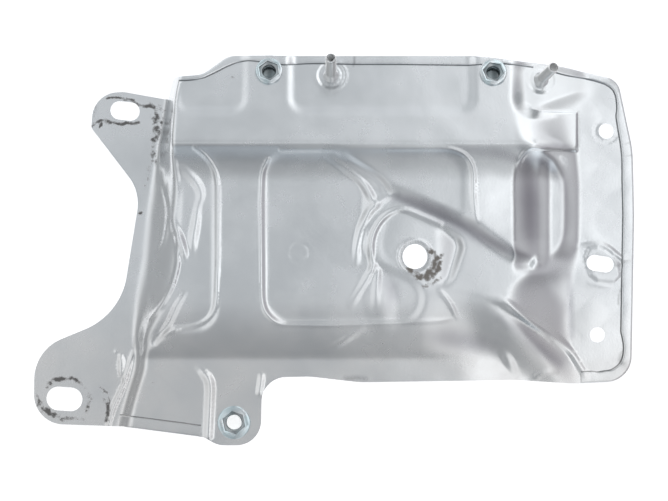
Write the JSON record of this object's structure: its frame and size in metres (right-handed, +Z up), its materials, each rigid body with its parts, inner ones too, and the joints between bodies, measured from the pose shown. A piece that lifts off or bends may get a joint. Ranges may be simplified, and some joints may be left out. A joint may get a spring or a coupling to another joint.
{
  "type": "exhaust heat shield",
  "caption": "Pressed and hemmed sheet-metal heat shield for an exhaust, with two slotted ears, a dished pan, a side flange, insert nuts and weld studs along its edge",
  "frame": {"origin": "centre of the bounding box, at the level of the lowest face, on which the ears and the side flange lie", "axes": "+X runs from the ears to the side flange, +Y from the boss to the edge with the studs, +Z up out of the pressed face"},
  "size_m": [0.3418, 0.221, 0.0342],
  "materials": {
    "bare_sheet": "satin aluminised sheet, scuffed at the ears, a burnt brown patch below the central hole",
    "zinc": "blue-green passivated zinc, darker in the threads"
  },
  "bodies": {
    "root": {"shield": "bare_sheet", "insert_nut_left": "zinc", "insert_nut_right": "zinc", "boss_nut": "zinc", "stud_left": "zinc", "stud_right": "zinc"}
  },
  "joints": []
}
